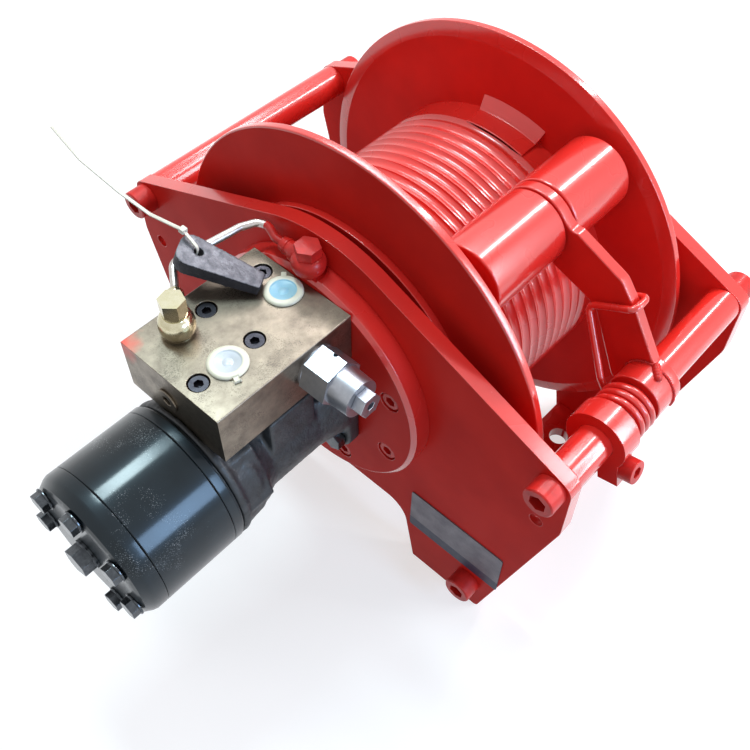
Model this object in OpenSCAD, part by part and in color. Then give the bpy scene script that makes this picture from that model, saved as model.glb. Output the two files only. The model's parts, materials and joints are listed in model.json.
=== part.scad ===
// Hydraulic rope winch: a grooved drum between two side plates, driven by an
// orbital motor with a valve block, with a sprung pair of press rollers that
// keep the rope layers tight. X runs along the drum, -Y is the roller side,
// +Z is up and z = 0 is the deck that the feet stand on.

/* [Drum] */
// Diameter of the drum flanges
flange_d = 360; // [330:1:366]
// Thickness of a drum flange
flange_t = 8; // [6:0.5:10]
// Diameter of the drum core over the groove crests
core_d = 230; // [210:1:232]
// Distance between the inner faces of the flanges
drum_w = 166; // [150:1:180]
// Wall thickness of the drum core
core_wall = 17; // [12:1:22]
// Diameter of the rope that the grooves are cut for
rope_d = 10; // [8:0.5:12]
// Radius of the far journal of the drum
journal_r = 30; // [24:1:34]

/* [Frame] */
// Height of the drum axis above the deck
axis_h = 200; // [195:1:220]
// Thickness of a side plate
plate_t = 12; // [10:0.5:16]
// Free space between a flange and its side plate
plate_gap = 13; // [11:0.5:20]
// Half the width of a side plate at its shoulders
shoulder_y = 220; // [216:1:230]
// Height of the shoulders above the drum axis
shoulder_z = 49; // [40:1:56]
// Half the width of a side plate at the deck
foot_y = 171; // [164:1:180]
// Radius of the crown of a side plate
crown_r = 127; // [122:1:135]
// Height of the arch between the feet
arch_h = 69; // [40:1:75]
// Half the width of the arch at its top
arch_y = 84; // [60:1:90]
// Diameter of the tie rods
tie_d = 28; // [24:1:30]
// Distance of the upper tie rods in front of and behind the drum axis
tie_y = 205; // [204:1:207]
// Height of the upper tie rods above the drum axis
tie_z = 38; // [30:1:42]
// Distance of the lower tie rods in front of and behind the drum axis
low_tie_y = 158; // [156:1:162]
// Height of the lower tie rods above the deck
low_tie_h = 35; // [32:1:42]
// Thread diameter of the tie rod screws
tie_screw_d = 16; // [12:1:18]
// Width of a foot bar
foot_bar_w = 72; // [62:1:74]
// Thickness of a foot bar
foot_bar_t = 12; // [10:1:13]
// Distance between the deck bolts along the drum
deck_bolt_x = 140; // [110:1:150]
// Distance between the deck bolts across the drum
deck_bolt_y = 246; // [240:1:250]
// Diameter of the holes for the deck bolts
deck_bolt_d = 18; // [14:0.5:18]
// Diameter of the spare holes below the upper tie rods of the motor end plate
spare_hole_d = 11; // [8:0.5:14]

/* [Press arm] */
// Angle of the rollers round the drum, up from the roller side
roller_a = 52.67; // [50:0.01:54]
// Free space between the rollers and the drum core
roller_clear = 4.9; // [4:0.1:8]
// Diameter of the press rollers
roller_d = 57; // [50:1:58]
// Diameter of the axle that carries the rollers
axle_d = 20; // [16:1:24]
// Thickness of the arm plate
arm_t = 9; // [8:0.5:12]
// Middle of the arm plate along the drum
arm_x = 4.5; // [3:0.5:6]
// Outer diameter of the arm hub
hub_d = 41; // [38:1:46]
// Length of the arm hub beside the arm plate, on the spring side
hub_l = 19; // [14:1:24]
// Wire diameter of the torsion spring
wire_d = 5.3; // [4.5:0.1:6]
// Distance between the turns of the torsion spring
spring_pitch = 6.6; // [6.2:0.1:8]
// Turns of the torsion spring
spring_turns = 3.25; // [2.25:1:4.25]
// Outer diameter of the spring collar
collar_d = 47; // [44:1:52]
// Width of the spring collar
collar_w = 18.5; // [16:0.5:22]

/* [Motor] */
// Diameter of the motor body
motor_d = 115.4; // [108:0.1:116]
// Length of the cast housing with its flange
housing_l = 123; // [120:1:130]
// Length of the ring between the housing and the stator
port_ring_l = 8.7; // [6:0.1:12]
// Length of the stator
stator_l = 59.3; // [40:0.1:70]
// Length of the end cover
cover_l = 18; // [14:1:24]
// Diameter of the adapter ring between the motor and the side plate
ring_d = 206; // [196:1:208]
// Thickness of the adapter ring
ring_t = 17; // [15:1:20]
// Radius of the circle of the adapter ring screws
ring_screw_r = 84; // [80:1:86]
// Radius of the spigot that carries the drum
spigot_r = 62; // [54:1:64]

/* [Valve block] */
// Length of the valve block
block_l = 118; // [114:1:120]
// Width of the valve block
block_w = 94; // [88:1:98]
// Height of the valve block
block_h = 44.6; // [40:0.1:50]
// Outer diameter of the brake pipe
pipe_d = 6; // [5:0.5:8]

/* [Hidden] */
$fn = 72;

// Fits and small clearances
run_fit = 0.05;
weld_fit = 0.03;
seat = 0.3;
low_tie_z = axis_h - low_tie_h;

// Places along the drum
drum_x = drum_w / 2;
flange_out_x = drum_x + flange_t;
plate_in_x = flange_out_x + plate_gap;
plate_out_x = plate_in_x + plate_t;
ring_x = -plate_out_x - ring_t;
core_r = core_d / 2;
core_in_r = core_r - core_wall;
flange_r = flange_d / 2;
flange_bevel = 11;
flange_bevel_d = 2;
hub_plate_t = 6;
hub_plate_r = core_r + 7;
hub_depth = 16;
tie_r = tie_d / 2;
motor_r = motor_d / 2;

// Grooves
pitch = rope_d * 1.03;
groove_r = rope_d * 0.53;
groove_depth = rope_d * 0.3;
band_w = 18;
groove_n = floor((drum_w - band_w) / pitch);
riser_w = band_w + 5;
riser_lip = 1.2;
riser_low = 2.4;
riser_h = rope_d * 1.25;
riser_rise_w = 6.5;
riser_a = [81, 108];

// Screws
tie_head_r = tie_screw_d * 0.75;
socket_depth_share = 0.55;
far_bolt_n = 6;
far_bolt_c = 64;
far_bolt_r = 5;
far_bolt_flats = 16;
far_bolt_h = 7;
far_flange_r = 76;
far_flange_t = 14;
far_hub_r = 50;
far_hub_l = 16;
ring_screw_n = 8;
ring_screw_a = 158.5;
ring_screw_d = 10;
ring_head_r = 8;
ring_head_in = 9;

// Arm
arm_x0 = arm_x - arm_t / 2;
arm_x1 = arm_x + arm_t / 2;
roller_gap = 1.5;
end_gap = 5;
washer_t = 2.5;
roller_end = drum_x - end_gap - washer_t;
roller_c = core_r + roller_d / 2 + roller_clear;
roller_y = roller_c * cos(roller_a);
roller_z = roller_c * sin(roller_a);
wire_r = wire_d / 2;
wire_fit = 0.9;
coil_fit = 1.75;
coil_r = tie_r + wire_r + coil_fit;
leg_x = arm_x0 - wire_r - wire_fit;
coil_x1 = leg_x - hub_l;
coil_x0 = coil_x1 - spring_turns * spring_pitch;
collar_x1 = coil_x0 - wire_r - wire_fit;
collar_x0 = collar_x1 - collar_w;
lug_a = 14;
lug_l = 36;
lug_t = 17.4;
lug_slot = 3;
pinch_d = 10;
pinch_head_r = pinch_d * 0.9;
pinch_z = -(tie_r + 9.6);

// Motor and valve block
housing_x = ring_x - housing_l;
port_ring_x = housing_x - port_ring_l;
stator_x = port_ring_x - stator_l;
cover_x = stator_x - cover_l;
motor_flange_t = 12;
motor_bolt_c = 37.6;
motor_flange_h = 49;
motor_flange_s = 50;
motor_bolt_r = 5;
motor_bolt_flats = 16;
motor_bolt_h = 8;
motor_bolt_in = 20;
cover_bolt_n = 7;
cover_bolt_r = 46;
cover_bolt_a = 42;
pad_z = 51.9;
block_x1 = ring_x - seat;
block_x0 = block_x1 - block_l;
block_y0 = -block_w / 2 + 4.4;
block_y1 = block_y0 + block_w;
block_z1 = pad_z + block_h;
// Screws of the block as [x, y, depth], the one above the flange bolt is short
block_screws = [[-195, 31.6, 13], [-146, 30, 3], [-191, -11, 13], [-239, -11, 13]];
block_ports = [[-149, 5.5], [-216, -13]];
port_r = 14;
block_screw_r = 6.5;
counterbore_r = 7.5;
relief_x = -168;
relief_z = 76;
relief_port_r = 11;
relief_hex = 32;
relief_hex_l = 22;
relief_neck_r = 15;
relief_neck_l = 17.5;
relief_tip_l = 8.5;
brake_banjo_x = ring_x + 6.5;
brake_banjo_y = 3;
brake_flat_z = ring_d / 2 - 1.5;
brake_eye_z = max(brake_flat_z + 3, block_z1 + 5);
eye_r = 10;
eye_h = 13;
pipe_z = brake_eye_z + eye_h / 2;
pipe_r = pipe_d / 2;
banjo_x = -220;
banjo_y = 30;
banjo_eye_r = 12.5;
banjo_eye_h = 16;
banjo_eye_z = max(pipe_z - 13, block_z1 + 1.5);
banjo_mid = banjo_eye_z + banjo_eye_h / 2;
banjo_hex_h = 11;
banjo_hex = 16;
stub_a = 52;
stub_l = 27;
saddle_l = 42;
saddle_y = 44;

// Route of the brake pipe, from the block banjo to the brake banjo,
// with heights above the drum axis
stub_way = [cos(stub_a), sin(stub_a), 0];
stub_root = [banjo_x, banjo_y, banjo_mid];
pipe_corner = [-189.5, 69, pipe_z - 1];
pipe_fall = 7.5 / 54.5;
pipe_route = [stub_root + (stub_l - 4) * stub_way, stub_root + (stub_l + 4) * stub_way, pipe_corner,
    pipe_corner + 54.5 * [1, -pipe_fall, 0], [-124, 56, pipe_z - 0.5], [-121.3, 48, pipe_z],
    [brake_banjo_x, 35, pipe_z], [brake_banjo_x, 25, pipe_z]];
pipe_bend = 8;

// Name plate, its middle above the deck
name_l = 93;
name_h = 51;
name_t = 1;
name_y = -139;
name_up = 79;

// Rope wedge: its front lower edge lies on the block, its back on the brake pipe
wedge_l = 60.5;
wedge_w = [14.6, 29.3];
wedge_t = [4.5, 7.5];
wedge_at = [-157.8, 18.7, block_z1 + seat];
wedge_a = 120.9;
wedge_hole = [46, -1];
wedge_hole_r = 3;
wedge_rest = 0.45 * wedge_w[1];
pipe_run_y = pipe_corner[1] - (wedge_at[0] - wedge_rest - pipe_corner[0]) * pipe_fall;
wedge_reach = (pipe_run_y - wedge_at[1] + wedge_rest * cos(wedge_a)) / sin(wedge_a);
wedge_lift = pipe_z - 1 - wedge_at[2];
wedge_tilt = asin((pipe_r + seat) / norm([wedge_reach, wedge_lift])) + atan2(wedge_lift, wedge_reach);

// Cable tie: up through the hole of the wedge, over its end, to the head and the free tail
tie_r1 = 1.4;
tie_up = wedge_hole[0] + wedge_hole_r - tie_r1 - 0.4;
tie_tail = [[-181, 98, 130], [-184, 125, 135], [-186, 163, 143], [-181, 200, 148]];
tie_head = on_wedge(61, -11, 11.7);
tie_route = concat([on_wedge(tie_up, wedge_hole[1], 1), on_wedge(tie_up, wedge_hole[1], 9.5), tie_head],
    tie_tail);

// Point u along the wedge, v across it and w above its lower face
function on_wedge(u, v, w) = wedge_at + u * [cos(wedge_a) * cos(wedge_tilt), sin(wedge_a) * cos(wedge_tilt),
    sin(wedge_tilt)] + v * [-sin(wedge_a), cos(wedge_a), 0]
    + w * [-cos(wedge_a) * sin(wedge_tilt), -sin(wedge_a) * sin(wedge_tilt), cos(wedge_tilt)];

// Vector helpers
function unit(v) = v / norm(v);
function flat(p) = [p[0], p[1]];
// Points of the arc that rounds corner b between a and c with radius r
function corner(a, b, c, r, n) = r <= 0 ? [b] :
    let (u = unit(a - b), v = unit(c - b), half = acos(u * v) / 2,
        m = b + unit(u + v) * r / sin(half), e = unit(b + u * r / tan(half) - m),
        w = b + v * r / tan(half) - m, f = unit(w - (w * e) * e), sweep = 180 - 2 * half)
    [for (i = [0:n]) m + r * (cos(sweep * i / n) * e + sin(sweep * i / n) * f)];
// Closed outline from corners given as [y, z, radius]
function outline(p) = let (k = len(p)) [for (i = [0:k - 1])
    each corner(flat(p[(i + k - 1) % k]), flat(p[i]), flat(p[(i + 1) % k]), p[i][2],
        p[i][2] > 50 ? 24 : 6)];
// Open route through points in space with every inner corner rounded
function route(p, r, n = 5) = let (k = len(p)) concat([p[0]],
    [for (i = [1:k - 2]) each corner(p[i - 1], p[i], p[i + 1], r, n)], [p[k - 1]]);
function tangents(p) = let (k = len(p)) [for (i = [0:k - 1])
    unit(p[min(i + 1, k - 1)] - p[max(i - 1, 0)])];
function carried(t, n, i = 0) = i >= len(t) ? [] :
    let (m = unit(n - (n * t[i]) * t[i])) concat([m], carried(t, m, i + 1));

// Round wire or pipe along a route, start is any vector across its first stretch
module tube(path, r, start, sides = 10) {
    t = tangents(path);
    n = carried(t, start);
    k = len(path);
    pts = [for (i = [0:k - 1]) for (j = [0:sides - 1])
        path[i] + r * (cos(360 * j / sides) * n[i] + sin(360 * j / sides) * cross(t[i], n[i]))];
    skin = [for (i = [0:k - 2]) for (j = [0:sides - 1])
        let (a = i * sides + j, b = i * sides + (j + 1) % sides)
        [a, a + sides, b + sides, b]];
    polyhedron(pts, concat(skin, [[for (j = [0:sides - 1]) j]],
        [[for (j = [sides - 1:-1:0]) (k - 1) * sides + j]]), convexity = 6);
}

// Outline in Y and Z above the drum axis, extruded along X
module sheet_x(x0, t) {
    translate([x0, 0, axis_h]) rotate([90, 0, 90]) linear_extrude(t) children();
}

// Cylinder along X, its axis at y and at z above the drum axis
module rod_x(x0, x1, r, y = 0, z = 0, sides = 72) {
    translate([x0, y, axis_h + z]) rotate([0, 90, 0]) cylinder(h = x1 - x0, r = r, $fn = sides);
}

// Profile in [radius, x] turned about the drum axis
module turned(profile) {
    translate([0, 0, axis_h]) rotate([0, 90, 0]) rotate_extrude($fn = 120) polygon(profile);
}

// Socket head screw along -X with its seat at x, side = -1 turns it to +X
module cap_screw(x, y, z, d, head_r, head_h, shank_l, side = 1) {
    translate([x, y, axis_h + z]) rotate([0, -90 * side, 0]) {
        difference() {
            union() {
                cylinder(h = head_h - 1, r = head_r, $fn = 36);
                translate([0, 0, head_h - 1]) cylinder(h = 1, r1 = head_r, r2 = head_r - 1, $fn = 36);
            }
            translate([0, 0, head_h * (1 - socket_depth_share)])
                cylinder(h = head_h, r = d * 0.43, $fn = 6);
        }
        translate([0, 0, -shank_l]) cylinder(h = shank_l, r = d / 2, $fn = 36);
    }
}

// Hexagon head bolt along -X with its seat at x, side = -1 turns it to +X
module hex_bolt(x, y, z, flats, head_h, shank_r, shank_l, side = 1) {
    translate([x, y, axis_h + z]) rotate([0, -90 * side, 0]) {
        cylinder(h = head_h, r = flats / sqrt(3), $fn = 6);
        translate([0, 0, -shank_l]) cylinder(h = shank_l, r = shank_r, $fn = 30);
    }
}

// Outline of both side plates, the feet left and right of an arch
function plate_outline() = let (
    d = norm([shoulder_y - 4, shoulder_z]),
    slope = asin(crown_r / d) - atan2(shoulder_z, shoulder_y - 4),
    apex = crown_r / cos(slope))
    outline([[-foot_y, -axis_h, 5], [-shoulder_y - 1, -6, 24], [-shoulder_y, shoulder_z - 2, 12],
        [0, apex, crown_r], [shoulder_y, shoulder_z - 2, 12], [shoulder_y + 1, -6, 24],
        [foot_y, -axis_h, 5], [arch_y + 14, -axis_h, 0], [arch_y, arch_h - axis_h, 22],
        [-arch_y, arch_h - axis_h, 22], [-arch_y - 14, -axis_h, 0]]);

module side_plate(x0, centre_r, spares) {
    sheet_x(x0, plate_t) difference() {
        polygon(plate_outline());
        circle(r = centre_r, $fn = 96);
        for (s = [-1, 1]) {
            translate([s * tie_y, tie_z]) circle(d = tie_screw_d + 1, $fn = 36);
            translate([s * low_tie_y, -low_tie_z]) circle(d = tie_screw_d + 1, $fn = 36);
            if (spares) translate([s * (tie_y - 4), tie_z - 48]) circle(d = spare_hole_d, $fn = 36);
        }
    }
}

module side_plate_motor_end() {
    color("#c8201c") side_plate(-plate_out_x, spigot_r + weld_fit, true);
}

module side_plate_far() {
    color("#c8201c") side_plate(plate_in_x, journal_r + 6, false);
}

module foot_bars() {
    color("#b81c1a") for (s = [-1, 1]) {
        y0 = s > 0 ? foot_y - foot_bar_w : -foot_y;
        difference() {
            translate([-plate_in_x, y0, 0]) cube([2 * plate_in_x, foot_bar_w, foot_bar_t]);
            for (x = [-deck_bolt_x / 2, deck_bolt_x / 2])
                translate([x, s * deck_bolt_y / 2, -1]) cylinder(h = foot_bar_t + 2, d = deck_bolt_d);
        }
    }
}

module tie_rods() {
    hole_l = tie_screw_d * 1.6;
    color("#d0241e") for (p = [[-tie_y, tie_z], [tie_y, tie_z], [-low_tie_y, -low_tie_z],
        [low_tie_y, -low_tie_z]]) difference() {
        rod_x(-plate_in_x, plate_in_x, tie_r, p[0], p[1]);
        for (s = [-1, 1]) rod_x(s > 0 ? plate_in_x - hole_l : -plate_in_x - 1,
            s > 0 ? plate_in_x + 1 : -plate_in_x + hole_l, tie_screw_d / 2 + weld_fit, p[0], p[1], 36);
    }
}

module tie_rod_screws() {
    reach = plate_t + tie_screw_d * 1.4;
    color("#c8201c") for (p = [[-tie_y, tie_z], [tie_y, tie_z], [-low_tie_y, -low_tie_z],
        [low_tie_y, -low_tie_z]]) for (s = [-1, 1])
        cap_screw(s * plate_out_x, p[0], p[1], tie_screw_d, tie_head_r, tie_screw_d, reach, -s);
}

module motor_adapter_ring() {
    inner = -drum_x + hub_depth - 5;
    c = 3;
    color("#c8201c") difference() {
        turned([[0, ring_x], [ring_d / 2 - c, ring_x], [ring_d / 2, ring_x + c],
            [ring_d / 2, -plate_out_x], [spigot_r, -plate_out_x], [spigot_r, inner], [0, inner]]);
        for (i = [0:ring_screw_n - 1]) {
            a = ring_screw_a + i * 360 / ring_screw_n;
            y = ring_screw_r * cos(a);
            z = ring_screw_r * sin(a);
            rod_x(ring_x - 1, ring_x + ring_head_in, ring_head_r + 0.5, y, z, 36);
            rod_x(ring_x, -plate_out_x + 1, ring_screw_d / 2 + 0.5, y, z, 36);
        }
        for (y = [-motor_bolt_c, motor_bolt_c]) for (z = [-motor_bolt_c, motor_bolt_c])
            rod_x(ring_x - 1, ring_x + motor_bolt_in, motor_bolt_r + weld_fit, y, z, 36);
        translate([brake_banjo_x, brake_banjo_y, axis_h + brake_flat_z])
            cylinder(h = 20, r = eye_r + 2, $fn = 36);
        translate([brake_banjo_x, brake_banjo_y, axis_h + brake_flat_z - 16])
            cylinder(h = 20, r = 4 + weld_fit, $fn = 36);
    }
}

module adapter_screws() {
    color("#3a2a2a") for (i = [0:ring_screw_n - 1]) {
        a = ring_screw_a + i * 360 / ring_screw_n;
        cap_screw(ring_x + ring_head_in, ring_screw_r * cos(a), ring_screw_r * sin(a), ring_screw_d,
            ring_head_r, ring_head_in - 1, ring_t - ring_head_in - 0.5);
    }
}

module far_bearing_housing() {
    x0 = plate_out_x;
    x1 = x0 + far_flange_t;
    x2 = x1 + far_hub_l;
    bore = x2 - 8;
    color("#b81c1a") difference() {
        turned([[0, x0], [far_flange_r, x0], [far_flange_r, x1 - 2], [far_flange_r - 2, x1],
            [far_hub_r + 4, x1], [far_hub_r, x1 + 4], [far_hub_r, x2 - 3], [far_hub_r - 3, x2], [0, x2]]);
        rod_x(x0 - 1, bore, journal_r + run_fit);
        for (i = [0:far_bolt_n - 1]) {
            a = i * 360 / far_bolt_n;
            rod_x(x0 - 1, x1 + 1, far_bolt_r + 0.5, far_bolt_c * cos(a), far_bolt_c * sin(a), 36);
        }
    }
}

module far_bearing_bolts() {
    color("#a81a18") for (i = [0:far_bolt_n - 1]) {
        a = i * 360 / far_bolt_n;
        hex_bolt(plate_out_x + far_flange_t, far_bolt_c * cos(a), far_bolt_c * sin(a), far_bolt_flats,
            far_bolt_h, far_bolt_r, far_flange_t - 0.5, -1);
    }
}

module spring_collar() {
    color("#d0241e") translate([collar_x0, -tie_y, axis_h + tie_z]) rotate([-lug_a, 0, 0])
    difference() {
        union() {
            rotate([0, 90, 0]) cylinder(h = collar_w, d = collar_d);
            translate([0, -lug_t, -lug_l]) cube([collar_w, 2 * lug_t, lug_l]);
        }
        translate([-1, 0, 0]) rotate([0, 90, 0]) cylinder(h = collar_w + 2, r = tie_r + weld_fit);
        translate([-1, -lug_slot / 2, -lug_l - 1]) cube([collar_w + 2, lug_slot, lug_l + 1]);
        translate([collar_w / 2, lug_t + 1, pinch_z]) rotate([90, 0, 0])
            cylinder(h = 2 * lug_t + 2, r = pinch_d / 2 + weld_fit, $fn = 36);
        translate([collar_w / 2, -lug_t, pinch_z]) rotate([90, 0, 0])
            cylinder(h = lug_t, r = pinch_head_r + seat, $fn = 36);
    }
}

module collar_screw() {
    color("#b81c1a") translate([collar_x0 + collar_w / 2, -tie_y, axis_h + tie_z])
    rotate([-lug_a, 0, 0]) translate([0, -lug_t, pinch_z]) rotate([90, 0, 0]) {
        difference() {
            cylinder(h = pinch_d, r = pinch_head_r, $fn = 36);
            translate([0, 0, pinch_d * (1 - socket_depth_share)])
                cylinder(h = pinch_d, r = pinch_d * 0.46, $fn = 6);
        }
        translate([0, 0, -2 * lug_t + 1]) cylinder(h = 2 * lug_t - 1, r = pinch_d / 2, $fn = 36);
    }
}

// Cast motor body: a lobed flange, a waist, an eight sided rear end and a pad on top
module motor_housing() {
    x1 = ring_x;
    x0 = housing_x;
    neck = motor_r * 0.82;
    color("#26282b") difference() {
        union() {
            sheet_x(x1 - motor_flange_t, motor_flange_t) polygon(outline([
                [-motor_flange_s, -motor_flange_h, 14], [-motor_flange_s, motor_flange_h, 14],
                [motor_flange_s, motor_flange_h, 14], [motor_flange_s, -motor_flange_h, 14]]));
            turned([[0, x0], [motor_r, x0], [motor_r, x0 + 6], [motor_r - 2, x0 + 8],
                [motor_r - 3, x0 + 22], [neck, x0 + 40], [neck, x1 - 36],
                [neck + 4, x1 - motor_flange_t], [0, x1 - 1]]);
            rod_x(x0 + 8, x0 + 30, motor_r - 1, 0, 0, 8);
            translate([x0 + 9, -34, axis_h]) cube([housing_l - motor_flange_t - 8, 68, pad_z]);
            translate([x0 + 36, -12, axis_h - motor_r + 6])
                cube([housing_l - motor_flange_t - 36, 24, motor_r]);
            sheet_x(x0 + 42, saddle_l) polygon(outline([[-saddle_y, pad_z, 0], [saddle_y, pad_z, 0],
                [saddle_y, 12, 6], [saddle_y - 12, -8, 8], [12 - saddle_y, -8, 8], [-saddle_y, 12, 6]]));
        }
        for (y = [-motor_bolt_c, motor_bolt_c]) for (z = [-motor_bolt_c, motor_bolt_c])
            rod_x(x1 - motor_flange_t - 1, x1 + 1, motor_bolt_r + weld_fit, y, z, 36);
        for (y = [-motor_bolt_c, motor_bolt_c]) for (z = [-motor_bolt_c, motor_bolt_c])
            rod_x(x1 - motor_flange_t - 22, x1 - motor_flange_t, 10.2, y, z, 36);
        for (p = block_screws) translate([p[0], p[1], axis_h + pad_z - p[2] - 1])
            cylinder(h = 20, r = 4 + weld_fit, $fn = 30);
        translate([block_x0 - seat, -motor_d, axis_h + pad_z]) cube([block_l + seat, 2 * motor_d, motor_d]);
    }
}

module motor_port_ring() {
    c = 0.6;
    color("#1e2023") turned([[0, port_ring_x], [motor_r - c, port_ring_x], [motor_r, port_ring_x + c],
        [motor_r, housing_x - 1.6], [motor_r - 1.4, housing_x - 1], [motor_r - 1.4, housing_x],
        [0, housing_x]]);
}

module motor_stator() {
    c = 0.6;
    color("#1e2023") turned([[0, stator_x], [motor_r - c, stator_x], [motor_r, stator_x + c],
        [motor_r, port_ring_x - c], [motor_r - c, port_ring_x], [0, port_ring_x]]);
}

module motor_end_cover() {
    color("#1e2023") difference() {
        turned([[0, cover_x], [motor_r - 9, cover_x], [motor_r - 4, cover_x + 2],
            [motor_r - 1, cover_x + 7], [motor_r, cover_x + 10], [motor_r, stator_x - 0.6],
            [motor_r - 0.6, stator_x], [0, stator_x]]);
        rod_x(cover_x - 1, cover_x + 12, 8 + weld_fit, 0, 0, 36);
        for (i = [0:cover_bolt_n - 1]) {
            a = cover_bolt_a + i * 360 / cover_bolt_n;
            rod_x(cover_x - 1, cover_x + 12, 4 + weld_fit, cover_bolt_r * cos(a), cover_bolt_r * sin(a), 30);
        }
    }
}

module motor_cover_bolts() {
    color("#2a2c30") for (i = [0:cover_bolt_n - 1]) {
        a = cover_bolt_a + i * 360 / cover_bolt_n;
        y = cover_bolt_r * cos(a);
        z = cover_bolt_r * sin(a);
        hex_bolt(cover_x, y, z, 13, 7, 4, 11);
        difference() {
            rod_x(cover_x - 1.5, cover_x, 8.5, y, z, 36);
            rod_x(cover_x - 2, cover_x + 1, 4, y, z, 30);
        }
    }
}

module motor_drain_plug() {
    color("#2a2c30") {
        hex_bolt(cover_x - 2.5, 0, 0, 19, 9, 8, 13);
        rod_x(cover_x - 2.5, cover_x, 12, 0, 0, 36);
    }
}

module motor_mounting_bolts() {
    color("#26282b") for (y = [-motor_bolt_c, motor_bolt_c]) for (z = [-motor_bolt_c, motor_bolt_c])
        hex_bolt(ring_x - motor_flange_t, y, z, motor_bolt_flats, motor_bolt_h, motor_bolt_r,
            motor_flange_t + motor_bolt_in - 1);
}

module valve_block() {
    color("#b8a888") difference() {
        translate([block_x0, 0, axis_h]) rotate([90, 0, 90]) linear_extrude(block_l)
            polygon(outline([[block_y0, pad_z, 1], [block_y1, pad_z, 1], [block_y1, block_z1, 1],
                [block_y0, block_z1, 1]]));
        for (p = block_screws) {
            translate([p[0], p[1], axis_h + pad_z - 1]) cylinder(h = block_h + 2, r = 4.5, $fn = 30);
            translate([p[0], p[1], axis_h + block_z1 - 9]) cylinder(h = 10, r = counterbore_r, $fn = 36);
        }
        for (p = block_ports)
            translate([p[0], p[1], axis_h + block_z1 - 12]) cylinder(h = 13, r = port_r - 2.5, $fn = 48);
        rod_x(block_x0 - 1, block_x0 + 12, 7 + weld_fit, 9.5, 71.6, 36);
        translate([relief_x, block_y0 + 25, axis_h + relief_z]) rotate([90, 0, 0])
            cylinder(h = 26, r = relief_port_r + weld_fit, $fn = 48);
        translate([banjo_x, banjo_y, axis_h + block_z1 - 12]) cylinder(h = 13, r = 4 + weld_fit, $fn = 36);
    }
}

module valve_block_screws() {
    color("#2a2a2c") for (p = block_screws) translate([p[0], p[1], axis_h + block_z1 - 9]) {
        difference() {
            cylinder(h = 8, r = block_screw_r, $fn = 36);
            translate([0, 0, 3.5]) cylinder(h = 8, r = 3.5, $fn = 6);
        }
        translate([0, 0, 9 - block_h - p[2]]) cylinder(h = block_h - 9 + p[2], r = 4, $fn = 30);
    }
}

// Plastic dust caps pressed into the oil ports
module port_caps() {
    color("#c4d2dc") for (p = block_ports) translate([p[0], p[1], axis_h + block_z1]) {
        rotate_extrude($fn = 60) polygon([[0, -8], [port_r - 2.6, -8], [port_r - 2.6, 0], [port_r, 0],
            [port_r, 1.6], [port_r - 1.5, 2.4], [port_r - 4.5, 2.4], [port_r - 5.5, 1.4], [0, 1.4]]);
        rotate([0, 0, p[0] > -180 ? 45 : 250]) translate([port_r - 1, -2, 0]) cube([4.5, 4, 1.6]);
    }
}

module block_end_plug() {
    color("#8f866f") translate([0, 9.5, 71.6]) difference() {
        union() {
            rod_x(block_x0 - 1.5, block_x0, 9, 0, 0, 48);
            rod_x(block_x0, block_x0 + 11, 7, 0, 0, 36);
        }
        rod_x(block_x0 - 2, block_x0 + 4, 4, 0, 0, 6);
    }
}

// Pressure relief cartridge on the front of the block
module relief_cartridge() {
    neck = 2 + relief_hex_l;
    color("#c9ccd0") translate([relief_x, block_y0, axis_h + relief_z]) rotate([90, 0, 0])
    difference() {
        union() {
            translate([0, 0, -24]) cylinder(h = 24, r = relief_port_r, $fn = 48);
            cylinder(h = 2, r = relief_hex / 2 + 0.5, $fn = 48);
            translate([0, 0, 2]) rotate([0, 0, 12])
                cylinder(h = relief_hex_l, r = relief_hex / sqrt(3), $fn = 6);
            translate([0, 0, neck])
                cylinder(h = relief_neck_l, r1 = relief_neck_r, r2 = relief_neck_r - 0.7, $fn = 48);
        }
        translate([0, 0, neck]) cylinder(h = relief_neck_l + 1, r = 6 + weld_fit, $fn = 36);
        rotate([0, 0, 12]) translate([0, 0, 14]) rotate([0, 90, 60]) translate([0, 0, 12])
            cylinder(h = 8, r = 1.8, $fn = 20);
    }
}

module relief_adjuster() {
    end = 2 + relief_hex_l + relief_neck_l;
    color("#b9bcc0") translate([relief_x, block_y0, axis_h + relief_z]) rotate([90, 0, 0])
    difference() {
        union() {
            translate([0, 0, end - relief_neck_l + 1]) cylinder(h = relief_neck_l, r = 6, $fn = 36);
            translate([0, 0, end]) cylinder(h = relief_tip_l, r = 17 / sqrt(3), $fn = 6);
        }
        translate([0, 0, end + relief_tip_l - 5]) cylinder(h = 8, r = 3.4, $fn = 6);
    }
}

// Adapter and eye of the banjo on the valve block, the pipe joins in its stub
module block_banjo() {
    e = banjo_eye_z;
    r = banjo_eye_r;
    color("#c8a23c") translate([banjo_x, banjo_y, axis_h]) difference() {
        union() {
            rotate_extrude($fn = 60) polygon([[0, block_z1], [r - 3, block_z1], [r - 3, e], [r, e + 4],
                [r, e + 10], [r - 2.5, e + 15], [r - 4, e + banjo_eye_h], [0, e + banjo_eye_h]]);
            translate([0, 0, banjo_mid]) rotate([0, 90, stub_a]) cylinder(h = stub_l, r = 4.6, $fn = 36);
            translate([0, 0, banjo_mid]) rotate([0, 90, stub_a]) translate([0, 0, stub_l - 9])
                cylinder(h = 9, r = 6, $fn = 36);
        }
        translate([0, 0, block_z1 - 1]) cylinder(h = 60, r = 4 + weld_fit, $fn = 36);
        translate([0, 0, banjo_mid]) rotate([0, 90, stub_a]) translate([0, 0, stub_l - 5])
            cylinder(h = 6, r = pipe_r + 0.2, $fn = 36);
    }
}

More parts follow.
